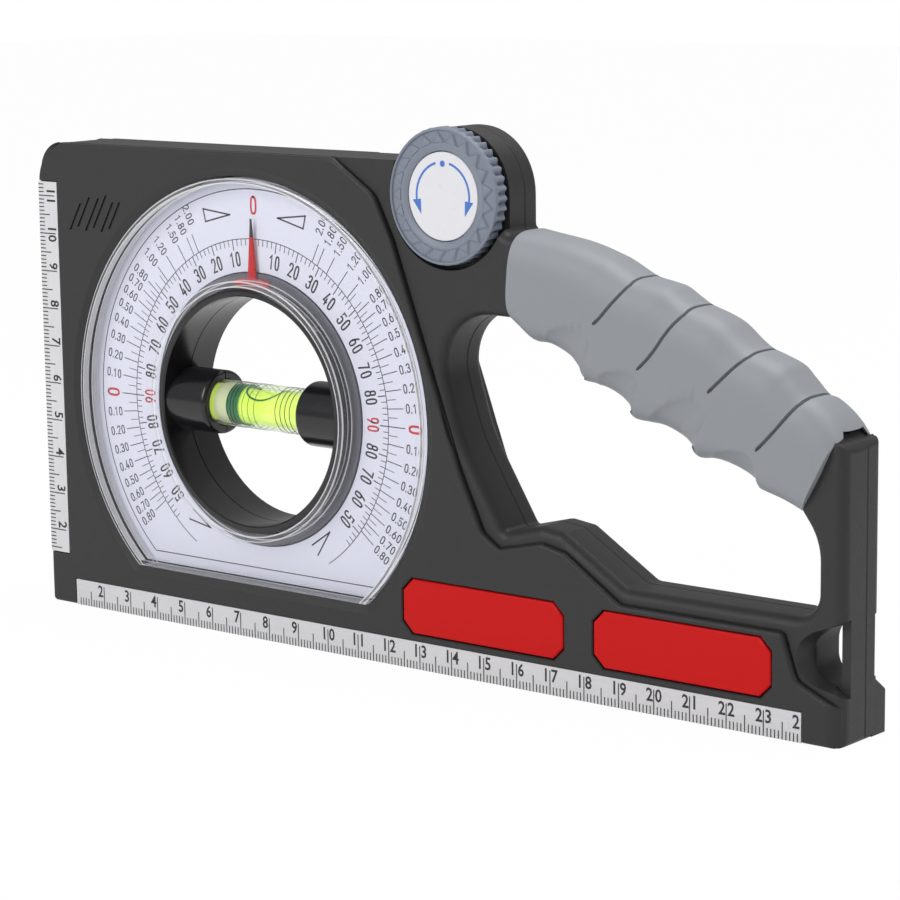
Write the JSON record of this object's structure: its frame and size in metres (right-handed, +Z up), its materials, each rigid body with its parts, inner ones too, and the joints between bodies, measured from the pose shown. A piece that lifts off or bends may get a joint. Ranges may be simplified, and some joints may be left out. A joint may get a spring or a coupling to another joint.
{
  "type": "inclinometer",
  "caption": "Hand-held inclinometer with a geared vial drum and pointer behind a clear dial cover, a knob, a grip handle and rulers.",
  "frame": {"origin": "centre of the flat underside of the base", "axes": "+X along the base towards the handle's post, +Y from the dial side to the back, +Z up"},
  "size_m": [0.2498, 0.0205, 0.1328],
  "materials": {
    "case": "fine moulded grain",
    "grip": "satin soft grip",
    "clear": "clear moulding",
    "print": "printed scale",
    "ruler": "satin with black print",
    "red": "smooth",
    "magnet": "flexible magnet",
    "steel": "plain",
    "drum": "smooth",
    "ring_grey": "smooth",
    "nylon": "smooth",
    "fluid": "clear liquid",
    "knob": "moulded",
    "label": "printed label"
  },
  "bodies": {
    "housing": {"base_ruler": "ruler", "clear_cover": "clear", "dial_plate": "print", "friction_washer": "magnet", "front_shell": "case", "grip_sleeve": "grip", "idler_pin": "steel", "insert_left": "red", "insert_right": "red", "magnet_strip_left": "magnet", "magnet_strip_right": "magnet", "rear_shell": "case", "screw_base_end": "steel", "screw_base_middle": "steel", "screw_beside_dial": "steel", "screw_bottom_left": "steel", "screw_neck": "steel", "screw_post_top": "steel", "screw_top_left": "steel", "screw_top_right": "steel", "side_ruler": "ruler"},
    "rotor": {"drum_front": "drum", "drum_rear": "drum", "ring_spacer": "ring_grey", "pointer_ring": "ring_grey", "pointer": "red", "ring_gear": "nylon", "vial_tube": "clear", "vial_liquid": "fluid", "vial_plug": "drum", "drum_screw_left": "steel", "drum_screw_right": "steel"},
    "idler": {"idler_gear": "nylon"},
    "knob_set": {"knob": "knob", "knob_label": "label", "knob_shaft": "steel", "knob_pinion": "nylon", "knob_screw": "steel"}
  },
  "joints": [
    {"name": "rotor_spin", "type": "hinge", "parent": "housing", "child": "rotor", "pos_m": [-0.052, 0, 0.0584], "axis": [0, 1, 0], "range_deg": [-148, 148]},
    {"name": "idler_spin", "type": "hinge", "parent": "housing", "child": "idler", "pos_m": [-0.00828, 0, 0.09661], "axis": [0, 1, 0], "range_deg": [-328.9, 328.9]},
    {"name": "knob_spin", "type": "hinge", "parent": "housing", "child": "knob_set", "pos_m": [0.01434, 0, 0.11637], "axis": [0, 1, 0], "range_deg": [-493.4, 493.4]}
  ],
  "couplings": [
    {"joint": "idler_spin", "follows": "rotor_spin", "ratio": -2.2222},
    {"joint": "knob_spin", "follows": "rotor_spin", "ratio": 3.3333}
  ]
}
